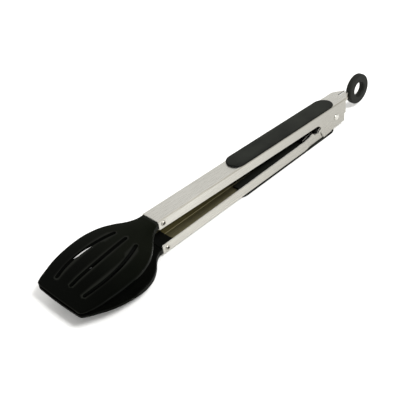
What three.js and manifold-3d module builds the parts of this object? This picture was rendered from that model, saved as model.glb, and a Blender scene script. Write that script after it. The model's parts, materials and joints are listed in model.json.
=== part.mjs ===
// Spring loaded kitchen tongs with slotted turner heads, closed, lying on the lower grip.
// Millimetres, +Z up. Inside the tongs group the hinge axis is Y through (HINGE_X, 0), X runs
// along the tongs from the heads (-X) to the hang ring (+X), and z = 0 is the closing plane.
import * as THREE from "three";
import { mergeVertices } from "three/addons/utils/BufferGeometryUtils.js";
import Module from "manifold-3d";

const wasm = await Module();
wasm.setup();

// ---- driving dimensions ----
const CLEARANCE = 0.3; // gap between pieces that touch in the real object
const REACH = 30; // reach of cutting bodies, beyond every surface of the arms
const SHEET = 0.8; // stainless sheet thickness
const BEND_RADIUS = 1.6; // outside radius of the channel bends
const ARM_HALF_WIDTH = 8.6;
const ARM_FRONT_X = -225;
const HEIGHT_FRONT = 14.9; // outer face above the closing plane at x = ARM_FRONT_X
const HEIGHT_ORIGIN = 11.5; // the same, extrapolated to x = 0
const UPPER_GAP = { front: 7.75, origin: 2.0 }; // wall edge at ARM_FRONT_X and at x = 0
const LOWER_GAP = { front: 7.05, origin: 1.2 };

const NOSE_START_X = -11; // the upper arm's outer face ends in a rounded nose
const NOSE_END_X = 1.4;
const NOSE_HALF_WIDTH = ARM_HALF_WIDTH + 0.2; // of the nose curve at its start
const NOSE_POWER = 1.2; // fullness of the nose curve
const NOSE_SLOT_X = -9; // front end of the slot in the nose that clears the lock strip
const NOSE_SLOT_HALF = 0.8;
const NOSE_LIP = 0.3; // how far the nose's edge hangs below its bend

const LOWER_REAR_X = -9.2;
const CREASE_X = -22; // behind this line the lower arm's face slopes towards the hinge line
const CREASE_DROP = 2.4;
const NEST_STEP = SHEET + CLEARANCE; // the lower arm's walls step in to nest between the ears
const NEST_START_X = -66;
const NEST_END_X = -55;
const TAPER_START_X = -32; // behind this line the lower arm tapers
const TAPER_END_X = -25;
const TAPER_HALF_WIDTH = 6.0;
const REAR_HALF_WIDTH = 5.7;

const HINGE_X = -23.2;
const HINGE_RADIUS = 1.6;
const EAR_RADIUS = 20.5; // front edge of the ears, about the hinge
const EAR_BOTTOM = 10.9;
const EAR_EDGE = [ // lower and rear edge of the upper arm's ears, front to rear
  [-31, -9.9],
  [-25.5, -8.6],
  [-17.2, -8.3],
  [-13.4, -8.4],
  [-12.7, -7.8],
  [-12.3, -1.4],
  [-10.5, -1.3],
];
const FINGER_REACH = 25; // catch finger tip, about the hinge
const FINGER_LOW = 4.2; // underside of the catch finger
const FINGER_CORNER = 0.5; // size of the finger's blunted corners
const FINGER_SLOPE = 0.1; // how far the finger's upper edge falls towards its tip
const CATCH_X = -45.4; // centre of the catch's closed end
const CATCH_RADIUS = 1.5;
const CATCH_MOUTH_X = -46.8;
const LATCH_EDGE = [ // edge of the lower arm's walls in front of the catch, mirrored up
  [-54.9, 1.9],
  [-54.1, 1.6],
  [-53, 1.7],
  [-51.2, 4.1],
  [-47.4, 4.1],
];
const LATCH_START_X = -57;
const INNER_EAR_RADIUS = 9.5; // nested ears of the lower arm, about the hinge
const INNER_EAR_SWEEP = [242, 360]; // degrees over which the nested ears keep that radius
const FINGER_BACK_SWEEP = [192, 204]; // degrees of the edge from the finger to the nested ears
const LOWER_REAR_EDGE = [ // wall edge behind the nested ears, mirrored up
  [-12.5, 3.6],
  [LOWER_REAR_X, 5.6],
];

const GRIP_FRONT_X = -144;
const GRIP_REAR_X = -22;
const GRIP_TOP_FRONT = 15.9;
const GRIP_TOP_REAR = 12.77;
const GRIP_HALF_WIDTH = 8.7;
const GRIP_FLAT_HALF = 4.5; // half width of the pad's flat crown
const GRIP_FLAT_SHARE = 0.52; // flat crown's largest share of the pad's width
const GRIP_EDGE_SHARE = 0.4; // height of the pad's side edge, as a share of its rise
const GRIP_UNDERCUT = 0.5;
const GRIP_END_LENGTH = 9;
const GRIP_END_CROWN = 0.55; // crown of the pad's thin ends
const CARRIER_FRONT_X = -137;
const CARRIER_REAR_X = -61;
const CARRIER_HALF_WIDTH = 5.5;
const CARRIER_THICKNESS = 1.6;
const STUD_X = [-130, -98, -69];
const STUD_RADIUS = 2.2;
const STUD_LENGTH = 2.2;
const STUD_HOLE_LENGTH = 6; // through the sheet's crowned face, centred on it

const TIP_X = -310.2;
const TIP_BOW = 0.5; // how far the middle of the front edge stands ahead of its corners
const BOW_END_X = -295; // behind this line the blade's cross sections are straight
const LOWER_HEAD_DROP = 2.2; // how much further the lower blade stands from the closing plane
const LOWER_BLADE_EXTRA = 0.8; // how much thicker the lower blade is
const DROP_START_X = -262; // the lower head's neck takes up both differences up to NECK_X
const NECK_X = ARM_FRONT_X - CLEARANCE;
const NECK_STEP = 0.05; // length of the step from the neck down to the tang
const TANG_REAR_X = -213;
const TANG_BOTTOM = 8.7; // underside of the tang above the closing plane
const TANG_SAG = 1.0;
const HEAD_RIVET_X = -220.5;
const HEAD_RIVET_Z = 11.1;
const HEAD_RIVET_RADIUS = 1.4;
const HEAD_RIVET_FLARE = 2.1;
const HEAD_RIVET_HEIGHT = 0.7;
const HEAD_RIVET_RIM = 0.3;
const HEAD_RIVET_HOLLOW = [[0, -1.2], [0.9, -0.6]]; // dimple, as [radius, height] over its seat
const HEAD_RIVET_MOUTH = 1.1; // radius of the dimple at the rivet's end
const SLOT_WIDTH = 3.3;
const MIDDLE_SLOT = [[-298, 0], [-273.5, 0], [-249, 0]]; // front end, control point, rear end
const SIDE_SLOT = [[-298.5, 15.2], [-274, 21.8], [-249.5, 11.7]];

const PIN_HEAD = [[0, 1.1], [1.1, 1.0], [2.1, 0.6], [2.6, 0]]; // [radius, height] over its seat
const PIN_PEEN = [[2.3, 0], [1.9, 0.6], [0, 0.8]];
const HINGE_WASHER = { radius: 3.4, thickness: 0.8, gap: 0.15 };
const COIL_Y = [1.2, 4.1]; // torsion spring coil, from the strip to the thrust washer
const COIL_RADII = [2.9, 4.3];
const WIRE_RADIUS = 0.7;
const LEG_START_Z = 3.6;
const LEG_END_Z = 10.2;
const LEG_REACH = 32; // length of the spring's legs along X
const SLEEVE_RADIUS = 2.6;
const THRUST_WASHER_RADIUS = 3.4;
const THRUST_WASHER_THICKNESS = 0.45;

const STRIP_HALF = 0.6; // half thickness of the lock strip
const STRIP_HALF_WIDTH = 2.7;
const STRIP_TOP = [[9, 8.3], [4.5, 8.3], [-6, 4.2], [-12, STRIP_HALF_WIDTH]]; // rear to front
const STRIP_BOTTOM = [[-14, -STRIP_HALF_WIDTH], [-6, -1.3], [4.5, 2.9], [9, 2.9]];
const SLOT_PLAY = 0.2; // free length of the strip's slot beyond its travel
const BAR_X = -49.7;
const BAR_RADIUS = 1.2;
const BAR_CHAMFER = 0.2;
const BAR_HALF_LENGTH = ARM_HALF_WIDTH - 0.4;
const SLIDE_OUT = 4.2; // ring pulled out, bar in the catch
const RING_X = 17.0;
const RING_Z = 6.0;
const RING_RADIUS = 13.2;
const RING_HOLE = 6.2;
const RING_HALF = 2.7;
const RING_FILLET = 1.3;

// ---- materials ----
const STEEL = { color: 0xc5c1b7, roughness: 0.35, metalness: 1 };
const DARK_STEEL = { color: 0x55534d, roughness: 0.45, metalness: 1 };
const SPRING_STEEL = { color: 0x8b8880, roughness: 0.35, metalness: 1 };
const NYLON = { color: 0x1b1d19, roughness: 0.45, metalness: 0 };
const RUBBER = { color: 0x34362f, roughness: 0.8, metalness: 0 };
const RING_PLASTIC = { color: 0x2b2c28, roughness: 0.7, metalness: 0 };

// ---- helpers ----
const lerp = THREE.MathUtils.lerp;
const smoothstep = THREE.MathUtils.smoothstep;
const vec2 = (x, y) => new THREE.Vector2(x, y);
const points = (pairs) => pairs.map(([x, y]) => vec2(x, y));

/** Height of an arm's straight outer face above the closing plane. */
function outerHeight(x) {
  return lerp(HEIGHT_ORIGIN, HEIGHT_FRONT, x / ARM_FRONT_X);
}

/** Height of an arm's wall edge above the closing plane. */
function gapEdge(gap, x) {
  return lerp(gap.origin, gap.front, x / ARM_FRONT_X);
}

/** Turns a closed mesh so that its faces point out. */
function outward(geometry) {
  const p = geometry.attributes.position;
  const index = geometry.index.array;
  const [a, b, c] = [new THREE.Vector3(), new THREE.Vector3(), new THREE.Vector3()];
  let volume = 0;
  for (let i = 0; i < index.length; i += 3) {
    a.fromBufferAttribute(p, index[i]);
    b.fromBufferAttribute(p, index[i + 1]);
    c.fromBufferAttribute(p, index[i + 2]);
    volume += a.dot(b.cross(c));
  }
  if (volume < 0) {
    for (let i = 0; i < index.length; i += 3) {
      [index[i + 1], index[i + 2]] = [index[i + 2], index[i + 1]];
    }
  }
  return geometry;
}

/** Merged, position-only copy of a geometry. */
function merged(geometry) {
  const bare = geometry.clone();
  for (const name of Object.keys(bare.attributes)) {
    if (name !== "position") bare.deleteAttribute(name);
  }
  return outward(mergeVertices(bare, 1e-4));
}

function toSolid(geometry) {
  const g = merged(geometry);
  const mesh = new wasm.Mesh({
    numProp: 3,
    vertProperties: new Float32Array(g.attributes.position.array),
    triVerts: new Uint32Array(g.index.array),
  });
  return new wasm.Manifold(mesh);
}

function toGeometry(solid) {
  const mesh = solid.getMesh();
  const g = new THREE.BufferGeometry();
  g.setAttribute("position", new THREE.BufferAttribute(mesh.vertProperties, 3));
  g.setIndex(new THREE.BufferAttribute(mesh.triVerts, 1));
  g.computeVertexNormals();
  return g;
}

/** Closed body through equal-length closed loops of points, one loop per station. */
function loft(loops) {
  const count = loops[0].length;
  const positions = loops.flat().flatMap((v) => [v.x, v.y, v.z]);
  const index = [];
  for (let s = 0; s + 1 < loops.length; s++) {
    for (let i = 0; i < count; i++) {
      const j = (i + 1) % count;
      const [a, b] = [s * count + i, s * count + j];
      index.push(a, b, b + count, a, b + count, a + count);
    }
  }
  const last = (loops.length - 1) * count;
  for (const [start, loop] of [[0, loops[0]], [last, loops[loops.length - 1]]]) {
    const flat = loop.map((v) => vec2(v.y, v.z));
    const clockwise = THREE.ShapeUtils.isClockWise(flat);
    for (const [a, b, c] of THREE.ShapeUtils.triangulateShape(flat, [])) {
      const front = (start === 0) === clockwise;
      index.push(...(front ? [a, b, c] : [a, c, b]).map((k) => k + start));
    }
  }
  const g = new THREE.BufferGeometry();
  g.setAttribute("position", new THREE.Float32BufferAttribute(positions, 3));
  g.setIndex(index);
  return outward(g);
}

/** Outline in the XZ plane, extruded along Y. */
function prismY(outline, y0, y1) {
  const g = new THREE.ExtrudeGeometry(outline, { depth: y1 - y0, bevelEnabled: false });
  return g.rotateX(Math.PI / 2).translate(0, y1, 0);
}

/** Outline in the XY plane, extruded along Z. */
function prismZ(outline, z0, z1) {
  const g = new THREE.ExtrudeGeometry(outline, { depth: z1 - z0, bevelEnabled: false });
  return g.translate(0, 0, z0);
}

function cylinderY(radius, y0, y1, x, z, segments = 24) {
  const g = new THREE.CylinderGeometry(radius, radius, y1 - y0, segments);
  return g.translate(x, (y0 + y1) / 2, z);
}

/** Upright cylinder about a height. */
function cylinderZ(radius, length, x, z) {
  const g = new THREE.CylinderGeometry(radius, radius, length, 20);
  return g.rotateX(Math.PI / 2).translate(x, 0, z);
}

/** Body of revolution about a Y-parallel axis, from a closed list of [radius, y]. */
function turnedY(profile, x, z, segments = 24) {
  const g = merged(new THREE.LatheGeometry(points(profile), segments));
  return g.translate(x, 0, z);
}

function box(x0, x1, y0, y1, z0, z1) {
  const g = new THREE.BoxGeometry(x1 - x0, y1 - y0, z1 - z0);
  return g.translate((x0 + x1) / 2, (y0 + y1) / 2, (z0 + z1) / 2);
}

function ring(rInner, rOuter, y0, y1, x, z) {
  return turnedY([[rInner, y0], [rOuter, y0], [rOuter, y1], [rInner, y1], [rInner, y0]], x, z);
}

/** Points of an arc about (cx, cz), angles in degrees, both ends included. */
function arc(cx, cz, radius, from, to, steps) {
  return Array.from({ length: steps + 1 }, (_, i) => {
    const angle = THREE.MathUtils.degToRad(lerp(from, to, i / steps));
    return vec2(cx + radius * Math.cos(angle), cz + radius * Math.sin(angle));
  });
}

function mesh(name, geometry, finish) {
  const part = new THREE.Mesh(geometry, new THREE.MeshStandardMaterial(finish));
  part.name = name;
  return part;
}

/** Mirror of a geometry in the closing plane. */
function mirrored(geometry, side) {
  return side > 0 ? geometry : outward(geometry.scale(1, 1, -1));
}

// ---- arms ----

/** U section of the channel, open towards -z, as a closed loop. */
function channelLoop([x, halfWidth, drop]) {
  const low = -EAR_BOTTOM - CLEARANCE;
  const inner = BEND_RADIUS - SHEET;
  const centre = outerHeight(x) - drop - BEND_RADIUS;
  const side = halfWidth - BEND_RADIUS;
  const outside = [
    vec2(halfWidth, low),
    ...arc(side, centre, BEND_RADIUS, 0, 90, 5),
    ...arc(-side, centre, BEND_RADIUS, 90, 180, 5),
    vec2(-halfWidth, low),
  ];
  const inside = [
    vec2(-halfWidth + SHEET, low),
    ...arc(-side, centre, inner, 180, 90, 5),
    ...arc(side, centre, inner, 90, 0, 5),
    vec2(halfWidth - SHEET, low),
  ];
  return [...outside, ...inside].map((p) => new THREE.Vector3(x, p.x, p.y));
}

/** Where the circle of the catch finger's tip crosses the finger's underside. */
function fingerTipX() {
  return HINGE_X - Math.sqrt(FINGER_REACH ** 2 - FINGER_LOW ** 2);
}

/** Closed end of the catch and the finger under it. */
function catchFinger() {
  const tip = fingerTipX();
  return [
    ...arc(CATCH_X, 0, CATCH_RADIUS, 90, -90, 8),
    vec2(CATCH_MOUTH_X + FINGER_CORNER, -CATCH_RADIUS - FINGER_SLOPE),
    vec2(tip + CLEARANCE, -FINGER_LOW + FINGER_CORNER),
    vec2(tip + 2 * CLEARANCE, -FINGER_LOW),
  ];
}

/** Ear front edge: an arc about the hinge from the finger down to the ear's foot. */
function earFront() {
  const angleAt = (drop) => 180 + THREE.MathUtils.radToDeg(Math.asin(drop / EAR_RADIUS));
  return arc(HINGE_X, 0, EAR_RADIUS, angleAt(FINGER_LOW), angleAt(EAR_BOTTOM), 6);
}

/** Side outline of the upper arm, whose ears lie outside. */
function upperSideShape() {
  const lip = BEND_RADIUS + NOSE_LIP;
  const wallRear = EAR_EDGE[EAR_EDGE.length - 1][0];
  return new THREE.Shape([
    vec2(ARM_FRONT_X, REACH),
    vec2(ARM_FRONT_X, gapEdge(UPPER_GAP, ARM_FRONT_X)),
    vec2(CATCH_MOUTH_X, gapEdge(UPPER_GAP, CATCH_MOUTH_X)),
    ...catchFinger(),
    ...earFront(),
    ...points(EAR_EDGE),
    vec2(wallRear, outerHeight(wallRear) - lip),
    vec2(NOSE_END_X, outerHeight(NOSE_END_X) - lip),
    vec2(NOSE_END_X, REACH),
  ]);
}

/** Plan outline that trims the upper arm's rear end to its rounded nose. */
function noseShape() {
  const steps = 16;
  const side = Array.from({ length: steps }, (_, i) => {
    const t = i / steps;
    const half = NOSE_HALF_WIDTH * (1 - t ** NOSE_POWER);
    return vec2(lerp(NOSE_START_X, NOSE_END_X, t), half);
  });
  const right = [vec2(ARM_FRONT_X, REACH), vec2(NOSE_START_X, REACH), ...side];
  const left = right.map((p) => vec2(p.x, -p.y)).reverse();
  return new THREE.Shape([...right, vec2(NOSE_END_X, 0), ...left]);
}

/** Side outline of the lower arm, mirrored up: its ears turn between the upper arm's walls. */
function lowerSideShape() {
  return new THREE.Shape([
    vec2(ARM_FRONT_X, REACH),
    vec2(ARM_FRONT_X, gapEdge(LOWER_GAP, ARM_FRONT_X)),
    vec2(LATCH_START_X, gapEdge(LOWER_GAP, LATCH_START_X)),
    ...points(LATCH_EDGE),
    ...catchFinger(),
    ...arc(HINGE_X, 0, EAR_RADIUS, ...FINGER_BACK_SWEEP, 3),
    ...arc(HINGE_X, 0, INNER_EAR_RADIUS, ...INNER_EAR_SWEEP, 10),
    ...points(LOWER_REAR_EDGE),
    vec2(LOWER_REAR_X, REACH),
  ]);
}

function studHole(x) {
  return cylinderZ(STUD_RADIUS + CLEARANCE, STUD_HOLE_LENGTH, x, outerHeight(x));
}

/** Channel through stations of [x, half width, drop], cut to a side outline and drilled. */
function channel(stations, sideShape) {
  const body = toSolid(loft(stations.map(channelLoop)));
  const side = toSolid(prismY(sideShape, -REACH, REACH));
  const across = (radius, x, z) => toSolid(cylinderY(radius + CLEARANCE, -REACH, REACH, x, z));
  const holes = [
    across(HEAD_RIVET_RADIUS, HEAD_RIVET_X, HEAD_RIVET_Z),
    across(HINGE_RADIUS, HINGE_X, 0),
    ...STUD_X.map((x) => toSolid(studHole(x))),
  ];
  return holes.reduce((solid, hole) => solid.subtract(hole), body.intersect(side));
}

function upperArm() {
  const stations = [
    [ARM_FRONT_X, ARM_HALF_WIDTH, 0],
    [NOSE_END_X, ARM_HALF_WIDTH, 0],
  ];
  const nose = toSolid(prismZ(noseShape(), -REACH, REACH));
  const slot = box(NOSE_SLOT_X, REACH, -NOSE_SLOT_HALF, NOSE_SLOT_HALF, 0, REACH);
  const solid = channel(stations, upperSideShape()).intersect(nose).subtract(toSolid(slot));
  return mesh("upper_arm", toGeometry(solid), STEEL);
}

function lowerArm() {
  const nested = ARM_HALF_WIDTH - NEST_STEP;
  const creaseHalf = lerp(
    TAPER_HALF_WIDTH,
    REAR_HALF_WIDTH,
    (CREASE_X - TAPER_END_X) / (LOWER_REAR_X - TAPER_END_X),
  );
  const stations = [
    [ARM_FRONT_X, ARM_HALF_WIDTH, 0],
    [NEST_START_X, ARM_HALF_WIDTH, 0],
    [NEST_END_X, nested, 0],
    [TAPER_START_X, nested, 0],
    [TAPER_END_X, TAPER_HALF_WIDTH, 0],
    [CREASE_X, creaseHalf, 0],
    [LOWER_REAR_X, REAR_HALF_WIDTH, CREASE_DROP],
  ];
  const solid = channel(stations, lowerSideShape());
  return mesh("lower_arm", mirrored(toGeometry(solid), -1), STEEL);
}

// ---- grips ----

/** Loop of the soft pad: flat underside, low sides and a crowned top with a flat band. */
function gripLoop(x, widthFactor, crown) {
  const base = outerHeight(x) + CLEARANCE;
  const along = (x - GRIP_FRONT_X) / (GRIP_REAR_X - GRIP_FRONT_X);
  const top = lerp(GRIP_TOP_FRONT, GRIP_TOP_REAR, along);
  const half = GRIP_HALF_WIDTH * widthFactor;
  const flat = Math.min(GRIP_FLAT_HALF, half * GRIP_FLAT_SHARE);
  const rise = (top - base) * crown;
  const edge = base + rise * GRIP_EDGE_SHARE;
  const turn = arc(0, 0, 1, 0, 90, 4).map((p) => vec2(flat + (half - flat) * p.x, p.y));
  const right = turn.map((p) => vec2(p.x, lerp(edge, base + rise, p.y)));
  const left = right.map((p) => vec2(-p.x, p.y)).reverse();
  const foot = half - GRIP_UNDERCUT;
  return [vec2(foot, base), ...right, ...left, vec2(-foot, base)].map(
    (p) => new THREE.Vector3(x, p.x, p.y),
  );
}

function grip(name, side) {
  const steps = 6;
  const blunt = 0.7; // keeps the first station wider than a point
  const end = Array.from({ length: steps + 1 }, (_, i) => {
    const angle = ((i + blunt) / (steps + blunt)) * (Math.PI / 2);
    const factor = Math.sin(angle);
    const inset = GRIP_END_LENGTH * (1 - Math.cos(angle));
    return [inset, factor, lerp(GRIP_END_CROWN, 1, factor)];
  });
  const front = end.map(([inset, factor, crown]) => gripLoop(GRIP_FRONT_X + inset, factor, crown));
  const rear = end.map(([inset, factor, crown]) => gripLoop(GRIP_REAR_X - inset, factor, crown));
  return mesh(name, mirrored(loft([...front, ...rear.reverse()]), side), RUBBER);
}

/** Hard strip inside the channel, with studs through the steel that hold the soft pad. */
function gripCarrier(name, side) {
  const loop = (x) => {
    const top = outerHeight(x) - SHEET - CLEARANCE;
    const low = top - CARRIER_THICKNESS;
    const half = CARRIER_HALF_WIDTH;
    const corners = [[-half, low], [half, low], [half, top], [-half, top]];
    return corners.map(([y, z]) => new THREE.Vector3(x, y, z));
  };
  const strip = toSolid(loft([loop(CARRIER_FRONT_X), loop(CARRIER_REAR_X)]));
  const solid = STUD_X.reduce((body, x) => {
    const middle = outerHeight(x) - STUD_LENGTH / 2;
    return body.add(toSolid(cylinderZ(STUD_RADIUS, STUD_LENGTH, x, middle)));
  }, strip);
  return mesh(name, mirrored(toGeometry(solid), side), NYLON);
}

// ---- heads ----

/** Half width of the turner blade and neck, from the front corner to the arm's end. */
const HEAD_PLAN = new THREE.SplineCurve(points([
  [TIP_X, 22.0],
  [-309.4, 23.8],
  [-307.5, 25.2],
  [-305, 26.5],
  [-300, 28.3],
  [-292, 30.4],
  [-283, 31.8],
  [-273, 32.3],
  [-264, 31.6],
  [-256, 29.4],
  [-249, 26.0],
  [-242, 20.4],
  [-236, 14.1],
  [-230, 9.9],
  [NECK_X, 8.6],
]));

/** Height of the blade's middle line above the closing plane, front to arm. */
const HEAD_CREST = new THREE.SplineCurve(points([
  [TIP_X, 1.6],
  [-300, 3.4],
  [-290, 5.9],
  [-265, 9.7],
  [-243, 12.3],
  [NECK_X, 14.5],
]));

/** How far the blade's sides lie below its middle line. */
const HEAD_SAG = new THREE.SplineCurve(points([
  [TIP_X, 0.3],
  [-300, 0.8],
  [-290, 1.3],
  [-265, 1.75],
  [-243, 1.5],
  [NECK_X, 0.7],
]));

/** Thickness of the head, from the thin tip over an even blade to the thick neck. */
const HEAD_DEPTH = new THREE.SplineCurve(points([
  [TIP_X, 1.1],
  [-300, 1.7],
  [-285, 1.9],
  [-272, 1.95],
  [-264, 2.9],
  [-255, 3.3],
  [-246, 3.7],
  [-236, 4.2],
  [NECK_X, 4.8],
]));

/** Value of one of the head's curves at a given x. */
function splineAt(spline, x) {
  const samples = spline.getPoints(400);
  const k = Math.max(1, samples.findIndex((p) => p.x >= x));
  const [p, q] = [samples[k - 1], samples[k]];
  return lerp(p.y, q.y, (x - p.x) / (q.x - p.x));
}

/** Loop of the head at x, with the crown across it and the bowed front edge. */
function headLoop(x, half, crest, depth, sag, bow) {
  const steps = 8;
  const top = [];
  const bottom = [];
  for (let i = 0; i <= steps; i++) {
    const v = lerp(-1, 1, i / steps);
    const px = x - bow * (1 - v * v);
    const z = crest - sag * v * v;
    top.push(new THREE.Vector3(px, half * v, z));
    bottom.unshift(new THREE.Vector3(px, half * v, z - depth));
  }
  return [...top, ...bottom];
}

/** Upright cutter of even width with round ends, along a bend through [x, y] points. */
function slotCutter([front, control, rear], sign) {
  const steps = 12;
  const at = ([x, y]) => vec2(x, sign * y);
  const curve = new THREE.QuadraticBezierCurve(at(front), at(control), at(rear));
  const half = SLOT_WIDTH / 2;
  const offset = (way) => curve.getPoints(steps).map((p, i) => {
    const tangent = curve.getTangent(i / steps);
    return vec2(p.x - way * tangent.y * half, p.y + way * tangent.x * half);
  });
  const capAt = (t, way) => {
    const p = curve.getPoint(t);
    const tangent = curve.getTangent(t);
    const heading = THREE.MathUtils.radToDeg(Math.atan2(tangent.y, tangent.x));
    return arc(p.x, p.y, half, heading + way * 90, heading + way * 90 - 180, 6).slice(1, -1);
  };
  const outline = [...offset(1), ...capAt(1, 1), ...offset(-1).reverse(), ...capAt(0, -1)];
  return toSolid(prismZ(new THREE.Shape(outline), 0, REACH));
}

/** Loops of the blade and neck, closest together at the rounded front corners. */
function bladeLoops(drop, extra) {
  const stations = 28;
  const spread = 1.4;
  return Array.from({ length: stations + 1 }, (_, i) => {
    const x = lerp(TIP_X, NECK_X, (i / stations) ** spread);
    const bow = TIP_BOW * (1 - smoothstep(x, TIP_X, BOW_END_X));
    const curves = [HEAD_PLAN, HEAD_CREST, HEAD_DEPTH, HEAD_SAG];
    const [half, crest, depth, sag] = curves.map((curve) => splineAt(curve, x));
    const share = 1 - smoothstep(x, DROP_START_X, NECK_X);
    return headLoop(x, half, crest + drop * share, depth + extra * share, sag, bow);
  });
}

/** Turner head: slotted blade, neck and the tang that fills the front of the arm. */
function head(name, side) {
  const tangHalf = ARM_HALF_WIDTH - SHEET - CLEARANCE;
  const tangLoops = [NECK_X + NECK_STEP, TANG_REAR_X].map((x) => {
    const top = outerHeight(x) - SHEET - CLEARANCE;
    return headLoop(x, tangHalf, top, top - TANG_BOTTOM, TANG_SAG, 0);
  });
  const rivetHole = cylinderY(
    HEAD_RIVET_RADIUS + CLEARANCE,
    -REACH,
    REACH,
    HEAD_RIVET_X,
    HEAD_RIVET_Z,
  );
  const cuts = [
    slotCutter(MIDDLE_SLOT, 1),
    slotCutter(SIDE_SLOT, 1),
    slotCutter(SIDE_SLOT, -1),
    toSolid(rivetHole),
  ];
  const blade = side < 0 ? bladeLoops(LOWER_HEAD_DROP, LOWER_BLADE_EXTRA) : bladeLoops(0, 0);
  const body = toSolid(loft([...blade, ...tangLoops]));
  const solid = cuts.reduce((rest, cut) => rest.subtract(cut), body);
  return mesh(name, mirrored(toGeometry(solid), side), NYLON);
}

/** Tubular rivet through both walls and the tang, with a dimple in each flared end. */
function headRivet(name, side) {
  const seat = ARM_HALF_WIDTH + CLEARANCE;
  const end = seat + HEAD_RIVET_HEIGHT;
  const profile = [
    ...HEAD_RIVET_HOLLOW.map(([r, height]) => [r, seat + height]),
    [HEAD_RIVET_MOUTH, end],
    [HEAD_RIVET_FLARE - HEAD_RIVET_RIM, end],
    [HEAD_RIVET_FLARE, end - HEAD_RIVET_RIM],
    [HEAD_RIVET_FLARE, seat],
    [HEAD_RIVET_RADIUS, seat],
  ];
  const outline = [...profile.map(([r, y]) => [r, -y]), ...profile.reverse()];
  return mesh(name, turnedY(outline, HEAD_RIVET_X, side * HEAD_RIVET_Z, 20), DARK_STEEL);
}

// ---- hinge ----

/** Hinge pin with a domed head at -Y and a peened end at +Y, outside the washer. */
function hingePin() {
  const seat = ARM_HALF_WIDTH + CLEARANCE;
  const peenSeat = ARM_HALF_WIDTH + HINGE_WASHER.gap + HINGE_WASHER.thickness + HINGE_WASHER.gap;
  const profile = [
    ...PIN_HEAD.map(([r, height]) => [r, -seat - height]),
    [HINGE_RADIUS, -seat],
    [HINGE_RADIUS, peenSeat],
    ...PIN_PEEN.map(([r, height]) => [r, peenSeat + height]),
  ];
  return mesh("hinge_pin", turnedY(profile, HINGE_X, 0), STEEL);
}

function hingeWasher() {
  const y = ARM_HALF_WIDTH + HINGE_WASHER.gap;
  const rim = ring(
    HINGE_RADIUS + CLEARANCE,
    HINGE_WASHER.radius,
    y,
    y + HINGE_WASHER.thickness,
    HINGE_X,
    0,
  );
  return mesh("hinge_washer", rim, STEEL);
}

/** One straight spring leg from the coil towards the arm on the given side. */
function springLeg(side) {
  const [y0, y1] = COIL_Y;
  const y = side > 0 ? y0 + WIRE_RADIUS : y1 - WIRE_RADIUS;
  const from = new THREE.Vector3(HINGE_X, y, side * LEG_START_Z);
  const to = new THREE.Vector3(HINGE_X - LEG_REACH, y, side * LEG_END_Z);
  const section = new THREE.Shape(arc(0, 0, WIRE_RADIUS, 0, 315, 7));
  const extrudePath = new THREE.LineCurve3(from, to);
  return new THREE.ExtrudeGeometry(section, { steps: 1, bevelEnabled: false, extrudePath });
}

/** Coil with two legs, one pressing on each arm, as one plain closed body. */
function torsionSpring(name, sign) {
  const coil = toSolid(ring(...COIL_RADII, ...COIL_Y, HINGE_X, 0));
  const g = toGeometry(coil.add(toSolid(springLeg(1))).add(toSolid(springLeg(-1))));
  if (sign < 0) outward(g.scale(1, -1, 1));
  return mesh(name, g, SPRING_STEEL);
}

/** Sleeve, thrust washer and spring on one side of the lock strip. */
function hingeStack(sign, label) {
  const coilEnd = COIL_Y[1];
  const span = (a, b) => (sign > 0 ? [a, b] : [-b, -a]);
  const bore = HINGE_RADIUS + CLEARANCE;
  const sleeve = ring(bore, SLEEVE_RADIUS, ...span(STRIP_HALF + CLEARANCE, coilEnd), HINGE_X, 0);
  const washerSeat = coilEnd + CLEARANCE;
  const washerSpan = span(washerSeat, washerSeat + THRUST_WASHER_THICKNESS);
  const washer = ring(bore, THRUST_WASHER_RADIUS, ...washerSpan, HINGE_X, 0);
  return [
    mesh(`spring_sleeve_${label}`, sleeve, NYLON),
    mesh(`thrust_washer_${label}`, washer, NYLON),
    torsionSpring(`torsion_spring_${label}`, sign),
  ];
}

// ---- lock and ring ----

/** Flat strip on edge in the centre plane, slotted along the hinge pin, rising to the ring. */
function lockStrip() {
  const slotHalf = HINGE_RADIUS + CLEARANCE;
  const shape = new THREE.Shape([
    ...arc(BAR_X, 0, STRIP_HALF_WIDTH, 90, 270, 10),
    ...points(STRIP_BOTTOM),
    ...points(STRIP_TOP),
  ]);
  const slot = [
    ...arc(HINGE_X - SLIDE_OUT - SLOT_PLAY, 0, slotHalf, 90, 270, 8),
    ...arc(HINGE_X + SLOT_PLAY, 0, slotHalf, -90, 90, 8),
  ];
  shape.holes.push(new THREE.Path(slot));
  shape.holes.push(new THREE.Path(arc(BAR_X, 0, BAR_RADIUS + CLEARANCE, 0, 345, 23)));
  return mesh("lock_strip", prismY(shape, -STRIP_HALF, STRIP_HALF), STEEL);
}

/** Cross bar that the catch fingers trap. */
function lockBar() {
  const profile = [
    [0, -BAR_HALF_LENGTH],
    [BAR_RADIUS - BAR_CHAMFER, -BAR_HALF_LENGTH],
    [BAR_RADIUS, -BAR_HALF_LENGTH + BAR_CHAMFER],
    [BAR_RADIUS, BAR_HALF_LENGTH - BAR_CHAMFER],
    [BAR_RADIUS - BAR_CHAMFER, BAR_HALF_LENGTH],
    [0, BAR_HALF_LENGTH],
  ];
  return mesh("lock_bar", turnedY(profile, BAR_X, 0, 20), DARK_STEEL);
}

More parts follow.
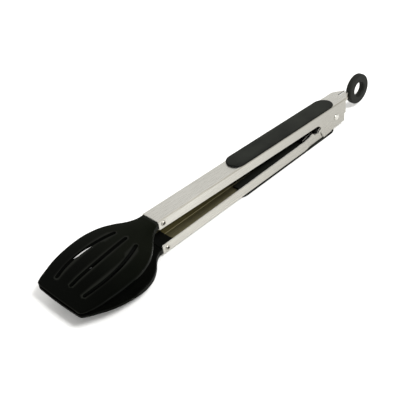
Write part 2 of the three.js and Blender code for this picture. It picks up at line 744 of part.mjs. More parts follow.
/** Hang ring with a pocket in its rim that holds the end of the lock strip. */
function hangRing() {
  const corner = (r, y, from) =>
    arc(r, y, RING_FILLET, from, from + 90, 3).map((p) => [p.x, p.y]);
  const [rIn, rOut] = [RING_HOLE + RING_FILLET, RING_RADIUS - RING_FILLET];
  const y = RING_HALF - RING_FILLET;
  const profile = [
    ...corner(rOut, -y, -90),
    ...corner(rOut, y, 0),
    ...corner(rIn, y, 90),
    ...corner(rIn, -y, 180),
  ];
  profile.push(profile[0]);
  const band = toSolid(turnedY(profile, RING_X, RING_Z, 40));
  const [endX, top] = STRIP_TOP[0];
  const bottom = STRIP_BOTTOM[STRIP_BOTTOM.length - 1][1];
  const pocketHalf = STRIP_HALF + CLEARANCE;
  const pocket = box(
    RING_X - REACH,
    endX + CLEARANCE,
    -pocketHalf,
    pocketHalf,
    bottom - CLEARANCE,
    top + CLEARANCE,
  );
  return mesh("hang_ring", toGeometry(band.subtract(toSolid(pocket))), RING_PLASTIC);
}

// ---- assembly ----

/** Angle that lays the lower grip's flat band level. */
function restAngle() {
  return Math.atan((GRIP_TOP_FRONT - GRIP_TOP_REAR) / (GRIP_REAR_X - GRIP_FRONT_X));
}

function buildTongs() {
  const tongs = new THREE.Group();
  tongs.add(
    upperArm(),
    lowerArm(),
    hingePin(),
    hingeWasher(),
    ...hingeStack(-1, "near"),
    ...hingeStack(1, "far"),
    lockStrip(),
    lockBar(),
    hangRing(),
  );
  for (const [label, side] of [["upper", 1], ["lower", -1]]) {
    tongs.add(
      grip(`${label}_grip`, side),
      gripCarrier(`${label}_grip_carrier`, side),
      head(`${label}_head`, side),
      headRivet(`${label}_head_rivet`, side),
    );
  }
  tongs.rotation.y = restAngle();
  return tongs;
}

/** Centres the tongs over the origin, standing on z = 0. */
function standOnFloor(tongs) {
  const object = new THREE.Group();
  object.add(tongs);
  object.updateMatrixWorld(true);
  const bounds = new THREE.Box3().setFromObject(object, true);
  tongs.position.set(-(bounds.min.x + bounds.max.x) / 2, 0, -bounds.min.z);
  return object;
}

export default standOnFloor(buildTongs());
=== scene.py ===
"""Spring loaded kitchen tongs, closed, lying on a pale floor: fine pieces around the CAD frame.

Pieces are shaped in millimetres in the tongs' own frame (hinge axis Y, x = 0 near the arms' rear,
heads towards -X, z = 0 the closing plane) and then carried into the row frame by TO_ROW.
"""
import json
import math

import bmesh
import bpy
from mathutils import Matrix, Vector


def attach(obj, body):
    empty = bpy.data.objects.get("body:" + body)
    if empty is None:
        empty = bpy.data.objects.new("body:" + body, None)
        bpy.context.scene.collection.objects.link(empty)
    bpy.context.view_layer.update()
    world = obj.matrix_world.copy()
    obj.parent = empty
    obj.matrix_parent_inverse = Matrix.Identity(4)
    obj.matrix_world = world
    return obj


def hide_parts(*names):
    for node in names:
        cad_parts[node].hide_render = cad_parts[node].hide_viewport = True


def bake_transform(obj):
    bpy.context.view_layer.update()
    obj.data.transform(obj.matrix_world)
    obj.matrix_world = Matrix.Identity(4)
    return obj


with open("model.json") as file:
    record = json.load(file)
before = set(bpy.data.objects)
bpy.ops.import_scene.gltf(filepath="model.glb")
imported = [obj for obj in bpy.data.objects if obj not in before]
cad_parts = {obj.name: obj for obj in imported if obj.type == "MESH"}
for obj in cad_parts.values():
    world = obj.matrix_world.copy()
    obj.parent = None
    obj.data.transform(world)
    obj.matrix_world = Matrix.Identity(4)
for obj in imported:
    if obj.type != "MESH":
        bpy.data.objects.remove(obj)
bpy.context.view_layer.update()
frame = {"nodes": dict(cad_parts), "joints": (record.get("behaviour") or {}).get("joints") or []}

# ---- driving dimensions: millimetres, angles in degrees ----
REACH = 30.0  # cutting bodies end beyond every surface that they cut
SHEET = 0.8  # thickness of the stainless sheet
BEND_RADIUS = 1.6  # outside radius of the channel's bends
BEND_STEPS = 10
ARM_HALF_WIDTH = 8.6
ARM_FRONT_X = -225.0
HEIGHT_FRONT = 14.9  # outer face above the closing plane, at ARM_FRONT_X
HEIGHT_ORIGIN = 11.5  # the same, extrapolated to x = 0
UPPER_GAP = (7.75, 2.0)  # wall edge above the closing plane, at ARM_FRONT_X and at x = 0
LOWER_GAP = (7.05, 1.2)
WALL_SPARE = 0.3  # how far the uncut walls reach below the ears
SHEET_ROUND = 0.13  # rounding of the sheet's cut edges
HOLE_SIDES = 48
CORNER_STEPS = 6

NOSE_START_X = -11.0
NOSE_END_X = 1.4
NOSE_HALF_WIDTH = ARM_HALF_WIDTH + 0.2
NOSE_POWER = 1.2  # shape of the nose in plan
NOSE_STEPS = 48
NOSE_SLOT_X = -9.0  # front end of the slot that clears the lock strip
NOSE_SLOT_HALF = 0.72
NOSE_LIP = 0.3  # how far the nose's edge hangs below the bends
TRIM_FRONT_X = ARM_FRONT_X - 1.0  # front end of the body that trims the nose
WALL_REAR_X = -10.5  # rear edge of the upper arm's walls

LOWER_REAR_X = -9.2
LOWER_REAR_EDGE = [(-12.5, 3.6), (LOWER_REAR_X, 5.6), (LOWER_REAR_X, REACH)]
CREASE_X = -22.0  # behind this line the lower arm's outer face nears the closing plane
CREASE_DROP = 2.4
NESTED_HALF = ARM_HALF_WIDTH - 1.1  # half width of the lower arm between the upper one's ears
NEST_START_X = -66.0
NEST_END_X = -55.0
NEST_STEPS = 8
TAPER_START_X = -32.0
TAPER_END_X = -25.0
TAPER_HALF_WIDTH = 6.0
REAR_HALF_WIDTH = 5.7

HINGE_X = -23.2
HINGE_RADIUS = 1.6
HINGE_HOLE = 1.7
EAR_RADIUS = 20.5  # front edge of the ears, about the hinge
EAR_BOTTOM = 10.9
EAR_STEPS = 12
EAR_UNDERSIDE = [(-31, -9.9), (-28.5, -9.1), (-25.5, -8.6), (-21.5, -8.35), (-17.2, -8.3)]
EAR_CORNER = (-13.5, -7.6)
EAR_CORNER_RADIUS = 0.8
EAR_CORNER_SWEEP = (-95, -3)
EAR_REAR = [(-12.3, -1.4), (WALL_REAR_X, -1.3)]
INNER_EAR_RADIUS = 9.5  # rear edge of the nested ears, about the hinge
INNER_EAR_SWEEP = (242, 360)
INNER_EAR_STEPS = 24
FINGER_BACK_SWEEP = (192, 204)
FINGER_REACH = 25.0  # tip of the catch finger, about the hinge
FINGER_LOW = 4.2  # underside of the finger, below the closing plane
FINGER_ROUND = 0.6
FINGER_ROUND_SWEEP = (150, 265)
FINGER_TIP_INSET = 0.75  # from the tip back to the centre of its rounding
CATCH_X = -45.4  # centre of the catch slot's closed end
CATCH_RADIUS = 1.5
CATCH_STEPS = 16
CATCH_MOUTH_X = -46.8
FINGER_TOP = (CATCH_MOUTH_X + 0.5, -CATCH_RADIUS - 0.1)
LATCH_EDGE = [(-57.0, 2.68), (-54.9, 1.9), (-54.1, 1.6), (-53, 1.7), (-51.2, 4.1), (-47.4, 4.1)]

GRIP_FRONT_X = -144.0
GRIP_REAR_X = -22.0
GRIP_LIFT = 0.03  # underside of the pad above the steel
GRIP_TOP_FRONT = 15.9
GRIP_TOP_REAR = 12.77
GRIP_HALF_WIDTH = 8.7
GRIP_FLAT_HALF = 4.5  # half width of the flat crown
GRIP_FLAT_SHARE = 0.52  # its limit, as a share of the half width, at the rounded ends
GRIP_FOOT = [(0.35, 0.0), (0.08, 0.12), (0.0, 0.24)]  # inset, height as a share of the rise
GRIP_SHOULDER = 0.35  # height where the crown's curve starts, as a share of the rise
GRIP_CROWN_STEPS = 10
GRIP_END_LENGTH = 9.0
GRIP_END_CROWN = 0.55  # height of the rounded ends' outermost section
GRIP_END_STEPS = 18
GRIP_MIDDLE_STEPS = 24

TIP_X = -310.2
TIP_BOW = 0.5  # how far the middle of the front edge stands ahead of its corners
BOW_END_X = -295.0
TIP_STATIONS = (0.0, 0.25, 0.6, 1.0, 1.5)  # distances behind the tip
TIP_LIPS = (0.35, 0.12, 0.03)  # how far the top is lowered at the first of them
HEAD_STATIONS = 64
HEAD_STATION_POWER = 1.15  # sets the sections closer together near the tip
HEAD_ACROSS = 22
HEAD_ROUND = 0.25
RIM_WIDTH = 1.3
RIM_WIDTH_SHARE = 0.2  # the rim's limit, as a share of the half width
RIM_DROP = 0.75
RIM_DROP_SHARE = 0.35  # the drop's limit, as a share of the depth
RIM_SHOULDER = (0.25, 0.45)  # shares of the rim's width and drop
LOW_EDGE = [(0.0, 0.35), (0.3, 0.05)]  # inset and rise of the underside's rounded edge
LOW_LIP_SHARE = 0.4  # how far the underside rises there, as a share of the same
LOWER_HEAD_DROP = 2.2  # the lower blade lies this much further from the closing plane
LOWER_BLADE_EXTRA = 0.8  # and is this much thicker
DROP_START_X = -262.0
NECK_X = ARM_FRONT_X - 0.3
TANG_FRONT_X = NECK_X + 0.05
TANG_REAR_X = -213.0
TANG_BOTTOM = 8.7
TANG_CLEARANCE = 0.15
TANG_SAG = 0.6
HEAD_RIVET_X = -220.5
HEAD_RIVET_Z = 11.1
HEAD_RIVET_HOLE = 1.5
SLOT_WIDTH = 3.3
SLOT_SHADE = 0.5  # how far the slots' dark faces reach beyond them
SLOT_STEPS = 24
SLOT_CAP_STEPS = 14
SLOT_CUT = (-5, 25)  # heights that the slots are cut between
MIDDLE_SLOT = [(-298.0, 0.0), (-273.5, 0.0), (-249.0, 0.0)]
SIDE_SLOT = [(-298.5, 15.2), (-274.0, 21.8), (-249.5, 11.7)]

FACE_GAP = 0.05  # rivet and pin heads stand this far off the walls
# Turned profiles: radius, and height above that gap
RIVET_MOUTH = [(0, -0.6), (0.75, -0.45), (1.0, 0.2), (1.2, 0.55)]
RIVET_RIM = [(1.5, 0.7), (1.85, 0.55), (2.1, 0.2), (2.1, 0.0), (1.35, 0.0)]
RIVET_HOLLOW = (1.1, 0.4)  # radius and height that the faces with painted shade in the hollow lie within
PIN_HEAD = (2.6, 0.1, 1.15)  # radius, height of its edge, height of its crown
PIN_NECK = (2.2, 0.9)
PIN_PEEN = (2.3, 1.1, 1.9)
WASHER_LIFT = 0.02  # of the hinge washer, above the same gap
HINGE_WASHER = [(1.7, 0), (3.2, 0), (3.4, 0.2), (3.4, 0.6), (3.2, 0.8), (1.7, 0.8)]
# Turned profiles: radius, and distance from the centre plane
SLEEVE = [(1.7, 0.9), (2.5, 0.9), (2.6, 1.0), (2.6, 4.0), (2.5, 4.1), (1.7, 4.1)]
THRUST_WASHER = [(1.7, 4.4), (3.25, 4.4), (3.4, 4.5), (3.4, 4.75), (3.25, 4.85), (1.7, 4.85)]

WIRE = 0.7  # radius of the spring wire
COIL_RADIUS = 3.6
COIL_Y = (1.2, 4.1)  # from the lock strip to the thrust washer
COIL_TURNS = 2.5
COIL_STEPS = 90
LEG_LENGTH = 33
LEG_STEPS = 16
LEG_CLEARANCE = 0.05

BAR_X = -49.7
BAR_RADIUS = 1.2
BAR_HALF = ARM_HALF_WIDTH - 0.4
BAR_CHAMFER = 0.25
SLIDE_OUT = 4.2  # travel of the lock
SLIDE_SPARE = 0.2  # extra length of the strip's slot at both ends
PIN_CLEARANCE = 0.15
STRIP_HALF = 0.6
STRIP_HALF_WIDTH = 2.7
STRIP_LOWER_EDGE = [(-14.5, -2.7), (-11, -2.45), (-6, -1.3), (4.5, 2.9), (9, 2.9)]
STRIP_UPPER_EDGE = [(9, 8.3), (4.5, 8.3), (-6, 4.2), (-9, 3.1), (-12.5, 2.7)]
STRIP_ROUND = 0.12
STRIP_SLOT_CUT = (-2, 2)
RING_X = 17.0
RING_Z = 6.0
RING_RADIUS = 13.19
RING_HOLE = 6.2
RING_HALF = 2.69
RING_FILLET = 1.5
POCKET = [(-2, 2.8), (9.1, 2.8), (9.1, 8.4), (-2, 8.4)]
POCKET_HALF = 0.68

JOINTS = {joint["name"]: joint for joint in frame["joints"]}
HINGE = Vector(JOINTS["arm_hinge"]["pos_m"])
SLIDE_AXIS = JOINTS["lock_slide"]["axis"]
REST_ANGLE = math.atan2(-SLIDE_AXIS[2], SLIDE_AXIS[0])
TO_ROW = (
    Matrix.Translation(HINGE)
    @ Matrix.Rotation(REST_ANGLE, 4, "Y")
    @ Matrix.Scale(0.001, 4)
    @ Matrix.Translation((-HINGE_X, 0, 0))
)


# ---- numbers ----
def lerp(a, b, t):
    return a + (b - a) * t


def smoothstep(x, low, high):
    t = min(1.0, max(0.0, (x - low) / (high - low)))
    return t * t * (3 - 2 * t)


def outer_height(x):
    """Height of an arm's straight outer face above the closing plane."""
    return lerp(HEIGHT_ORIGIN, HEIGHT_FRONT, x / ARM_FRONT_X)


def gap_edge(gap, x):
    """Height of an arm's wall edge above the closing plane."""
    return lerp(gap[1], gap[0], x / ARM_FRONT_X)


def arc(cx, cz, radius, start, end, steps):
    """Points of an arc, angles in degrees, both ends included."""
    angles = [math.radians(lerp(start, end, i / steps)) for i in range(steps + 1)]
    return [(cx + radius * math.cos(a), cz + radius * math.sin(a)) for a in angles]


def spline(points, x):
    """Catmull-Rom curve y(x) through points with rising x."""
    k = 0
    while k < len(points) - 2 and points[k + 1][0] < x:
        k += 1
    p1, p2 = points[k], points[k + 1]
    p0 = points[k - 1] if k > 0 else p1
    p3 = points[k + 2] if k + 2 < len(points) else p2
    span = p2[0] - p1[0]
    t = min(1.0, max(0.0, (x - p1[0]) / span))
    m1 = (p2[1] - p0[1]) / (p2[0] - p0[0]) * span
    m2 = (p3[1] - p1[1]) / (p3[0] - p1[0]) * span
    a = 2 * t**3 - 3 * t**2 + 1
    b = t**3 - 2 * t**2 + t
    c = -2 * t**3 + 3 * t**2
    d = t**3 - t**2
    return a * p1[1] + b * m1 + c * p2[1] + d * m2


# ---- mesh building ----
def new_object(name, verts, faces):
    """Mesh object from points and faces, with its faces turned outwards."""
    data = bpy.data.meshes.new(name)
    data.from_pydata([tuple(v) for v in verts], [], faces)
    bm = bmesh.new()
    bm.from_mesh(data)
    bmesh.ops.remove_doubles(bm, verts=bm.verts, dist=1e-5)
    bmesh.ops.recalc_face_normals(bm, faces=bm.faces)
    if bm.calc_volume(signed=True) < 0:
        bmesh.ops.reverse_faces(bm, faces=bm.faces)
    bm.to_mesh(data)
    bm.free()
    piece = bpy.data.objects.new(name, data)
    bpy.context.scene.collection.objects.link(piece)
    return piece


def loft(name, loops):
    """Skin through equal-length closed loops, capped at both ends."""
    count = len(loops[0])
    verts = [v for loop in loops for v in loop]
    faces = []
    for s in range(len(loops) - 1):
        a, b = s * count, (s + 1) * count
        for i in range(count):
            j = (i + 1) % count
            faces.append((a + i, a + j, b + j, b + i))
    last = (len(loops) - 1) * count
    faces.append(tuple(range(count)))
    faces.append(tuple(last + i for i in range(count)))
    return new_object(name, verts, faces)


def prism(name, outline, low, high, axis="Y"):
    """Solid of a closed outline between two planes; the outline is XZ for Y and XY for Z."""
    if axis == "Y":
        loops = [[(x, w, z) for x, z in outline] for w in (low, high)]
    else:
        loops = [[(x, y, w) for x, y in outline] for w in (low, high)]
    return loft(name, loops)


def turned(name, profile, x, z, segments=64):
    """Body of revolution about a Y-parallel axis; the profile runs from axis to axis or closes."""
    on_axis = profile[0][0] < 1e-6
    loops = []
    for k in range(segments):
        angle = 2 * math.pi * k / segments
        loops.append(
            [(x + r * math.cos(angle), y, z + r * math.sin(angle)) for r, y in profile]
        )
    count = len(profile)
    verts = [v for loop in loops for v in loop]
    faces = []
    for k in range(segments):
        a, b = k * count, ((k + 1) % segments) * count
        for i in range(count if not on_axis else count - 1):
            j = (i + 1) % count
            faces.append((a + i, a + j, b + j, b + i))
    return new_object(name, verts, faces)


def sweep(name, path, radius, sides=14):
    """Round wire along a path of points, with flat ends."""
    points = [Vector(p) for p in path]
    loops = []
    normal = None
    for i, p in enumerate(points):
        ahead = points[min(i + 1, len(points) - 1)]
        behind = points[max(i - 1, 0)]
        tangent = (ahead - behind).normalized()
        if normal is None:
            normal = tangent.orthogonal().normalized()
        normal = (normal - tangent * normal.dot(tangent)).normalized()
        other = tangent.cross(normal)
        angles = [2 * math.pi * k / sides for k in range(sides)]
        loops.append(
            [p + (normal * math.cos(a) + other * math.sin(a)) * radius for a in angles]
        )
    return loft(name, loops)


def bake_modifiers(piece):
    """Applies every modifier of a piece."""
    graph = bpy.context.evaluated_depsgraph_get()
    data = bpy.data.meshes.new_from_object(piece.evaluated_get(graph))
    piece.modifiers.clear()
    piece.data = data


def boolean(piece, tool, operation):
    """Cuts or intersects a piece with a tool, which is used up."""
    step = piece.modifiers.new("boolean", "BOOLEAN")
    step.object = tool
    step.operation = operation
    step.solver = "EXACT"
    bake_modifiers(piece)
    bpy.data.objects.remove(tool)


def soften(piece, width, segments=2, angle=35):
    """Rounds the edges sharper than an angle."""
    step = piece.modifiers.new("bevel", "BEVEL")
    step.width = width
    step.segments = segments
    step.limit_method = "ANGLE"
    step.angle_limit = math.radians(angle)
    step.use_clamp_overlap = True
    bake_modifiers(piece)


def mirror_z(piece):
    """Mirrors a piece in the closing plane."""
    piece.data.transform(Matrix.Scale(-1, 4, (0, 0, 1)))
    piece.data.flip_normals()


def finish_piece(piece, body, material, node, smooth=40):
    """Carries a piece into the row frame and gives it its shading, material, slot and body.

    A material or body of None leaves that as it is.
    """
    piece.data.transform(TO_ROW)
    piece.data.polygons.foreach_set("use_smooth", [True] * len(piece.data.polygons))
    piece.data.set_sharp_from_angle(angle=math.radians(smooth))
    weights = piece.modifiers.new("weighted_normal", "WEIGHTED_NORMAL")
    weights.keep_sharp = True
    if material is not None:
        piece.data.materials.clear()
        piece.data.materials.append(material)
    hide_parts(node)
    if body is not None:
        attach(piece, body)
    return piece


# ---- materials ----
NOISE_ROUGHNESS = 0.55
# Noise scales along the part, across it and up, per metre
GRAIN_SCALE = (9, 2600, 2600)
CLOUD_SCALE = (14, 60, 60)
GRAIN_SHARE = 0.6  # of the grain in the steel's tone
CLOUD_SHARE = 0.4
GRAIN_BUMP = (0.12, 0.00004)
MOTTLE_SCALE = 45.0
STIPPLE_BUMP = 0.35
SIDE_SHADE_FACING = (0.80, 0.985)  # upward part of the normal, from fully to not at all a side in painted shade
EDGE_WEAR_AND_HIGHLIGHT = (0.55, 0.66)  # pointiness, from plain to a paler edge that is partly wear and partly painted highlight


def node_material(name):
    """Empty node material: (material, tree, shader)."""
    material = bpy.data.materials.new(name)
    material.use_nodes = True
    tree = material.node_tree
    shader = tree.nodes["Principled BSDF"]
    return material, tree, shader


def coordinates(tree, scale):
    """Object coordinates in metres, scaled along each axis."""
    source = tree.nodes.new("ShaderNodeTexCoord")
    mapping = tree.nodes.new("ShaderNodeMapping")
    mapping.inputs["Scale"].default_value = scale
    tree.links.new(source.outputs["Object"], mapping.inputs["Vector"])
    return mapping.outputs["Vector"]


def noise(tree, vector, scale, detail):
    node = tree.nodes.new("ShaderNodeTexNoise")
    node.inputs["Scale"].default_value = scale
    node.inputs["Detail"].default_value = detail
    node.inputs["Roughness"].default_value = NOISE_ROUGHNESS
    tree.links.new(vector, node.inputs["Vector"])
    return node.outputs["Fac"]


def remap(tree, value, low, high, source=(0.3, 0.7)):
    node = tree.nodes.new("ShaderNodeMapRange")
    node.inputs["From Min"].default_value = source[0]
    node.inputs["From Max"].default_value = source[1]
    node.inputs["To Min"].default_value = low
    node.inputs["To Max"].default_value = high
    tree.links.new(value, node.inputs["Value"])
    return node.outputs["Result"]


def ramp(tree, value, dark, light, low=0.3, high=0.7):
    node = tree.nodes.new("ShaderNodeValToRGB")
    node.color_ramp.elements[0].position = low
    node.color_ramp.elements[0].color = (*dark, 1)
    node.color_ramp.elements[1].position = high
    node.color_ramp.elements[1].color = (*light, 1)
    tree.links.new(value, node.inputs["Fac"])
    return node.outputs["Color"]


def blended(tree, factor, tone, other):
    """A tone that turns into a plain other colour with a factor."""
    node = tree.nodes.new("ShaderNodeMix")
    node.data_type = "RGBA"
    tree.links.new(factor, node.inputs["Factor"])
    tree.links.new(tone, node.inputs["A"])
    node.inputs["B"].default_value = (*other, 1)
    return node.outputs["Result"]


def faded(tree, tone, start, end, other):
    """A tone that turns into another colour between two positions along the part, in metres."""
    axes = tree.nodes.new("ShaderNodeSeparateXYZ")
    tree.links.new(coordinates(tree, (1, 1, 1)), axes.inputs["Vector"])
    return blended(tree, remap(tree, axes.outputs["X"], 0.0, 1.0, (start, end)), tone, other)


def bump(tree, shader, height, strength, distance):
    node = tree.nodes.new("ShaderNodeBump")
    node.inputs["Strength"].default_value = strength
    node.inputs["Distance"].default_value = distance
    tree.links.new(height, node.inputs["Height"])
    tree.links.new(node.outputs["Normal"], shader.inputs["Normal"])


def brushed_steel(name, dark, light, rough=(0.24, 0.36), fade=None):
    """Sheet steel with a lengthwise grain, faint clouding and uneven gloss.

    A fade is (x from, x to, colour), as in faded.
    """
    material, tree, shader = node_material(name)
    lines = noise(tree, coordinates(tree, GRAIN_SCALE), 1.0, 2.0)
    clouds = noise(tree, coordinates(tree, CLOUD_SCALE), 1.0, 4.0)
    mix = tree.nodes.new("ShaderNodeMath")
    mix.operation = "MULTIPLY_ADD"
    mix.inputs[1].default_value = GRAIN_SHARE
    tree.links.new(lines, mix.inputs[0])
    clouding = remap(tree, clouds, 0.0, CLOUD_SHARE, (0.0, 1.0))
    tree.links.new(clouding, mix.inputs[2])
    tone = ramp(tree, mix.outputs[0], dark, light, 0.35, 0.65)
    if fade is not None:
        tone = faded(tree, tone, *fade)
    tree.links.new(tone, shader.inputs["Base Color"])
    tree.links.new(remap(tree, lines, *rough), shader.inputs["Roughness"])
    shader.inputs["Metallic"].default_value = 1.0
    bump(tree, shader, lines, *GRAIN_BUMP)
    return material


def moulded(
    name, dark, light, rough, stipple, depth, specular, edge_wear_and_highlight, painted_side_shade=1.0, fade=None
):
    """Moulded plastic or rubber: fine texture, tone variation, uneven gloss, paler edges that are
    partly wear and partly painted highlight.

    The painted side shade is how much of the dark colour is left where a surface turns away from
    level; it is painted shade on the sides, which leaves the level top lighter.
    A fade works as in brushed_steel.
    """
    material, tree, shader = node_material(name)
    vector = coordinates(tree, (1, 1, 1))
    fine = noise(tree, vector, stipple, 2.0)
    broad = noise(tree, vector, MOTTLE_SCALE, 4.0)
    tone = ramp(tree, broad, dark, light)
    # Painted shade: surfaces that turn away from level are darkened.
    if painted_side_shade < 1.0:
        source = tree.nodes.new("ShaderNodeTexCoord")
        axes = tree.nodes.new("ShaderNodeSeparateXYZ")
        tree.links.new(source.outputs["Normal"], axes.inputs["Vector"])
        level = tree.nodes.new("ShaderNodeMath")
        level.operation = "ABSOLUTE"
        tree.links.new(axes.outputs["Z"], level.inputs[0])
        side_shade_share = remap(tree, level.outputs["Value"], 1.0, 0.0, SIDE_SHADE_FACING)
        tone = blended(tree, side_shade_share, tone, [painted_side_shade * part for part in dark])
    if fade is not None:
        tone = faded(tree, tone, *fade)
    # Paler edges: partly wear, partly a painted highlight where the rims catch the light.
    edge = tree.nodes.new("ShaderNodeNewGeometry").outputs["Pointiness"]
    worn_and_lit = blended(tree, remap(tree, edge, 0.0, 1.0, EDGE_WEAR_AND_HIGHLIGHT), tone, edge_wear_and_highlight)
    tree.links.new(worn_and_lit, shader.inputs["Base Color"])
    tree.links.new(remap(tree, broad, *rough), shader.inputs["Roughness"])
    shader.inputs["Specular IOR Level"].default_value = specular
    bump(tree, shader, fine, STIPPLE_BUMP, depth)
    return material


STEEL = brushed_steel("brushed_stainless", (0.50, 0.49, 0.45), (0.60, 0.59, 0.55))
# Painted shade: a darker copy of the brushed steel for the walls that face sideways, deepening
# further towards the rear.
WALL_SHADE_STEEL = brushed_steel(
    "wall_stainless_painted_shade",
    (0.44, 0.43, 0.395),
    (0.53, 0.52, 0.48),
    fade=(-0.06, 0.10, (0.355, 0.345, 0.315)),
)
# Painted reflection: a darker copy of the steel on the outer bends stands in for the dark line
# reflected along them.
BEND_REFLECTION_STEEL = brushed_steel(
    "bend_painted_dark_reflection", (0.27, 0.26, 0.225), (0.36, 0.345, 0.30), rough=(0.45, 0.6)
)
# Painted highlight: a paler copy of the steel on the sheet's cut edges stands in for the light that
# they catch.
EDGE_HIGHLIGHT_STEEL = brushed_steel(
    "cut_edge_painted_highlight", (0.62, 0.61, 0.57), (0.78, 0.77, 0.72), rough=(0.6, 0.8)
)
SHADED_STEEL = brushed_steel(
    "shaded_stainless",
    (0.130, 0.118, 0.064),
    (0.215, 0.195, 0.116),
    rough=(0.4, 0.55),
    fade=(0.0, 0.035, (0.003, 0.003, 0.002)),
)
INNER_STEEL = brushed_steel("plain_stainless", (0.34, 0.325, 0.29), (0.46, 0.44, 0.395))
# Painted shade: near-black steel for the faces inside the rivets' hollow.
RIVET_HOLLOW_SHADE_STEEL = brushed_steel(
    "rivet_hollow_painted_shade", (0.06, 0.056, 0.048), (0.10, 0.095, 0.082), rough=(0.35, 0.5)
)
# Painted shade: the lock bar is near black, standing in for the shade in the catch's notch.
LOCK_BAR_SHADE_STEEL = brushed_steel(
    "lock_bar_painted_shade", (0.002, 0.002, 0.0015), (0.006, 0.006, 0.005), rough=(0.5, 0.65)
)
WIRE_STEEL = brushed_steel(
    "spring_wire", (0.22, 0.21, 0.19), (0.34, 0.33, 0.30), rough=(0.3, 0.42)
)
NYLON = moulded(
    "black_nylon",
    (0.0020, 0.0026, 0.0012),
    (0.0042, 0.0050, 0.0029),
    rough=(0.34, 0.48),
    stipple=2600,
    depth=0.00003,
    specular=0.02,
    edge_wear_and_highlight=(0.007, 0.0075, 0.006),
    fade=(-0.085, -0.145, (0.0003, 0.0005, 0.00015)),
)
SHADED_NYLON = moulded(
    "shaded_nylon",
    (0.0003, 0.0004, 0.0002),
    (0.0012, 0.0014, 0.0009),
    rough=(0.5, 0.65),
    stipple=2600,
    depth=0.00003,
    specular=0.01,
    edge_wear_and_highlight=(0.002, 0.0022, 0.0018),
)
RUBBER = moulded(
    "soft_rubber",
    (0.0048, 0.0055, 0.0042),
    (0.0165, 0.0178, 0.0146),
    rough=(0.62, 0.78),
    stipple=3200,
    depth=0.00006,
    specular=0.10,
    edge_wear_and_highlight=(0.018, 0.019, 0.017),
    painted_side_shade=0.35,
)
RING_PLASTIC = moulded(
    "ring_plastic",
    (0.0050, 0.0056, 0.0042),
    (0.0105, 0.0112, 0.0094),
    rough=(0.50, 0.65),
    stipple=2400,
    depth=0.00004,
    specular=0.10,
    edge_wear_and_highlight=(0.016, 0.017, 0.015),
)

# Material slots of an arm's sheet, in the order of ARM_STEELS
FLAT_FACE, INSIDE_SHADE_FACE, BEND_REFLECTION_FACE, EDGE_HIGHLIGHT_FACE, WALL_SHADE_FACE = range(5)
ARM_STEELS = (STEEL, SHADED_STEEL, BEND_REFLECTION_STEEL, EDGE_HIGHLIGHT_STEEL, WALL_SHADE_STEEL)

# Limits on the parts of a face's normal that decide its material slot
WALL_FACING = 0.9  # a wall faces sideways by more than this
BEND_FACING = 0.45  # a bend faces sideways and up by more than this
INSIDE_FACING = 0.5  # an inside face looks to the middle or down by more than this
EDGE_FACING = 0.35  # a cut edge faces sideways and up by less than this
INSIDE_DEPTH = 0.6  # share of the sheet's thickness that inside faces lie within
SLOT_WALL_FACING = 0.93  # a slot's wall faces up or down by less than this
UNDERSIDE_FACING = 0.3  # a head's underside faces down by more than this


# ---- arms ----
def channel_loop(x, half, drop):
    """U section of the channel, open towards -z; the drop lowers its outer face."""
    low = -EAR_BOTTOM - WALL_SPARE
    centre = outer_height(x) - drop - BEND_RADIUS
    side = half - BEND_RADIUS
    inner = BEND_RADIUS - SHEET
    outside = [(half, low)]
    outside += arc(side, centre, BEND_RADIUS, 0, 90, BEND_STEPS)
    outside += arc(-side, centre, BEND_RADIUS, 90, 180, BEND_STEPS)
    outside += [(-half, low)]
    inside = [(-half + SHEET, low)]
    inside += arc(-side, centre, inner, 180, 90, BEND_STEPS)
    inside += arc(side, centre, inner, 90, 0, BEND_STEPS)
    inside += [(half - SHEET, low)]
    return [(x, y, z) for y, z in outside + inside]


def finger_outline():
    """Catch slot and catch finger, seen from the side, from the slot's top to the finger's foot."""
    tip = HINGE_X - math.sqrt(FINGER_REACH**2 - FINGER_LOW**2)
    centre = (tip + FINGER_TIP_INSET, -FINGER_LOW + FINGER_ROUND)
    points = arc(CATCH_X, 0, CATCH_RADIUS, 90, -90, CATCH_STEPS)
    points += [FINGER_TOP]
    points += arc(*centre, FINGER_ROUND, *FINGER_ROUND_SWEEP, CORNER_STEPS)
    return points


def upper_side_outline():
    """Side outline of the upper arm, whose ears lie outside."""
    top = 180 + math.degrees(math.asin(FINGER_LOW / EAR_RADIUS))
    bottom = 180 + math.degrees(math.asin(EAR_BOTTOM / EAR_RADIUS))
    lip = BEND_RADIUS + NOSE_LIP
    points = [(ARM_FRONT_X, REACH), (ARM_FRONT_X, gap_edge(UPPER_GAP, ARM_FRONT_X))]
    points += [(CATCH_MOUTH_X, gap_edge(UPPER_GAP, CATCH_MOUTH_X))]
    points += finger_outline()
    points += arc(HINGE_X, 0, EAR_RADIUS, top, bottom, EAR_STEPS)
    points += EAR_UNDERSIDE
    points += arc(*EAR_CORNER, EAR_CORNER_RADIUS, *EAR_CORNER_SWEEP, CORNER_STEPS)
    points += EAR_REAR
    points += [(x, outer_height(x) - lip) for x in (WALL_REAR_X, NOSE_END_X)]
    points += [(NOSE_END_X, REACH)]
    return points


def nose_outline():
    """Plan outline that trims the upper arm's rear end to its rounded nose."""
    side = []
    for i in range(NOSE_STEPS):
        t = i / NOSE_STEPS
        half = NOSE_HALF_WIDTH * (1 - t**NOSE_POWER)
        side.append((lerp(NOSE_START_X, NOSE_END_X, t), half))
    right = [(TRIM_FRONT_X, REACH), (NOSE_START_X, REACH)] + side
    left = [(x, -y) for x, y in reversed(right)]
    return right + [(NOSE_END_X, 0.0)] + left


